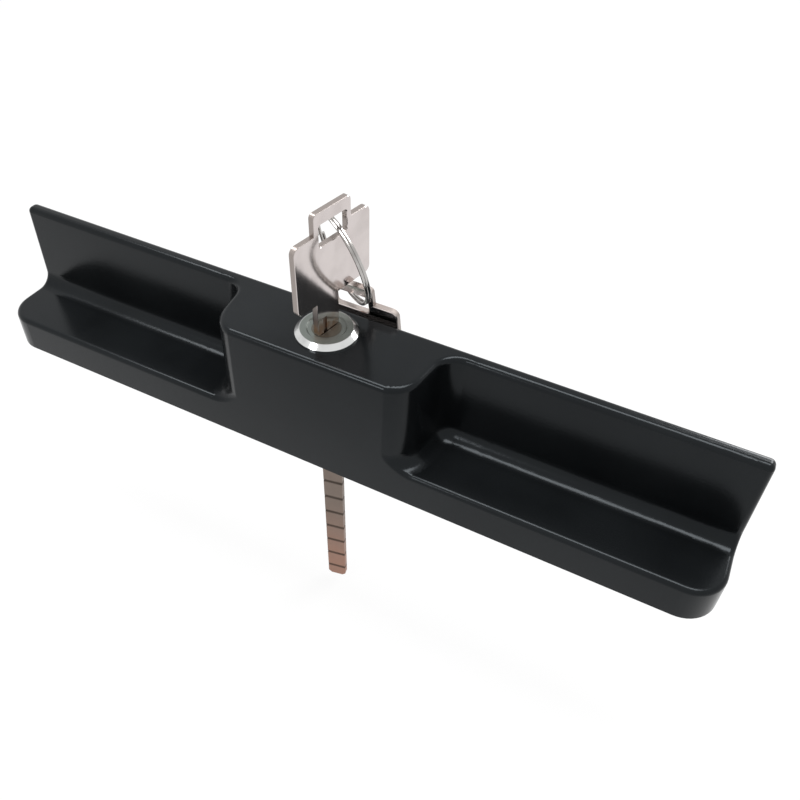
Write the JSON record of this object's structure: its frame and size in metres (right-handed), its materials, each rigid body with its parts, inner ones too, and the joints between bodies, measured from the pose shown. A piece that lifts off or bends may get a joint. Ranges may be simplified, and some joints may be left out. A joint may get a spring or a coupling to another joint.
{
  "type": "sliding door handle",
  "caption": "Bar handle for a sliding door with a high back rail, finger recesses, and a raised key lock block in the middle with a flat tail bar behind it.",
  "frame": {"origin": "on the lock axis, in the mounting plane at the back of the handle", "axes": "+X along the bar, +Y towards the back rail, +Z away from the door"},
  "size_m": [0.231, 0.0371, 0.1522],
  "materials": {
    "black_paint": "satin black powder coat",
    "lock_chrome": "polished",
    "zinc_steel": "zinc plated",
    "plug_metal": "satin",
    "tail_metal": "dull bronze",
    "key_nickel": "satin nickel plate",
    "ring_steel": "bright",
    "wafer_brass": "plain"
  },
  "bodies": {
    "handle": {"handle_body": "black_paint", "lock_barrel": "lock_chrome", "nut_washer": "zinc_steel", "barrel_nut": "zinc_steel"},
    "plug": {"lock_plug": "plug_metal", "plug_clip": "zinc_steel", "tail_bar": "tail_metal", "tail_pin": "zinc_steel", "wafer_1": "wafer_brass", "wafer_2": "wafer_brass", "wafer_3": "wafer_brass", "wafer_4": "wafer_brass", "wafer_5": "wafer_brass", "wafer_6": "wafer_brass", "wafer_7": "wafer_brass", "wafer_8": "wafer_brass"},
    "key_in_lock": {"key": "key_nickel"},
    "ring": {"key_ring": "ring_steel"},
    "spare": {"spare_key": "key_nickel"}
  },
  "joints": [
    {"name": "plug_turn", "type": "hinge", "parent": "handle", "child": "plug", "pos_m": [0, 0, 0], "axis": [0, 0, 1], "range_deg": [0, 90]},
    {"name": "key_slide", "type": "slide", "parent": "plug", "child": "key_in_lock", "axis": [0, 0, 1], "range_m": [0, 0.036]},
    {"name": "ring_swing", "type": "hinge", "parent": "key_in_lock", "child": "ring", "pos_m": [0.00109, 0.0056, 0.06944], "axis": [0.9816, -0.1908, 0], "range_deg": [0, 75]},
    {"name": "spare_swing", "type": "hinge", "parent": "ring", "child": "spare", "pos_m": [0.00124, 0.01193, 0.04445], "axis": [1, 0, 0], "range_deg": [0, 10]}
  ],
  "couplings": [
    {"joint": "ring_swing", "follows": "plug_turn", "ratio": 0.8333}
  ]
}
